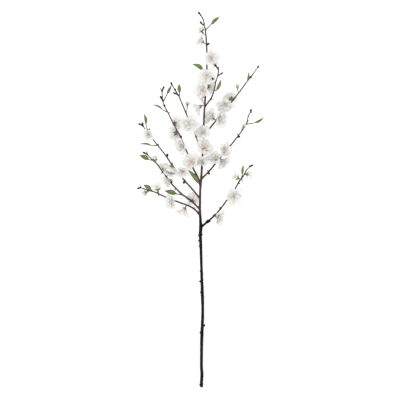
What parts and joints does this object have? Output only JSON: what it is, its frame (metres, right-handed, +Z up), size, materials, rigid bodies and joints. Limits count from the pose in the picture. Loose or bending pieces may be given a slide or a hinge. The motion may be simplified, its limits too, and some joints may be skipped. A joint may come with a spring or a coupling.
{
  "type": "double cherry blossom sprig",
  "caption": "Long cut sprig of double cherry blossom with a bare lower stem, side twigs, open flowers, half-open flowers, buds and young leaves, lying on its side on a flat surface.",
  "frame": {"origin": "on the surface that the sprig lies on, under the middle of its outline", "axes": "+Y from the cut end to the tip, +Z up from the surface, +X to the right of the tip seen from above"},
  "size_m": [0.33, 0.977, 0.0816],
  "materials": {
    "bark": "matt young bark, near-black at the cut end and reddish brown above, with paler lenticels",
    "petal": "thin satin petal, white with fine veins and a peach to beige throat",
    "stamen": "matt pale filaments with ochre anthers",
    "calyx": "matt olive green skin, flushed reddish brown",
    "leaf": "satin mid green, darker at the toothed edge, with a paler midrib"
  },
  "bodies": {
    "root": {"branch": "bark", "bloom_01": "petal", "bloom_02": "petal", "bloom_03": "petal", "bloom_04": "petal", "bloom_05": "petal", "bloom_06": "petal", "bloom_07": "petal", "bloom_08": "petal", "bloom_09": "petal", "bloom_10": "petal", "bloom_11": "petal", "bloom_12": "petal", "bloom_13": "petal", "bloom_14": "petal", "bloom_15": "petal", "bloom_16": "petal", "bloom_17": "petal", "bloom_18": "petal", "bloom_19": "petal", "bloom_20": "petal", "bloom_21": "petal", "bloom_22": "petal", "bloom_23": "petal", "bloom_24": "petal", "bloom_25": "petal", "bloom_26": "petal", "bloom_27": "petal", "bloom_28": "petal", "bloom_29": "petal", "bloom_30": "petal", "bloom_31": "petal", "bloom_32": "petal", "bloom_33": "petal", "half_open_01": "petal", "half_open_02": "petal", "half_open_03": "petal", "half_open_04": "petal", "half_open_05": "petal", "half_open_06": "petal", "bud_01": "petal", "bud_02": "petal", "bud_03": "petal", "leaf_01": "leaf", "leaf_02": "leaf", "leaf_03": "leaf", "leaf_04": "leaf", "leaf_05": "leaf", "leaf_06": "leaf", "leaf_07": "leaf", "leaf_08": "leaf", "leaf_09": "leaf", "leaf_10": "leaf", "leaf_11": "leaf", "leaf_12": "leaf", "leaf_13": "leaf", "leaf_14": "leaf", "leaf_15": "leaf"}
  },
  "joints": []
}
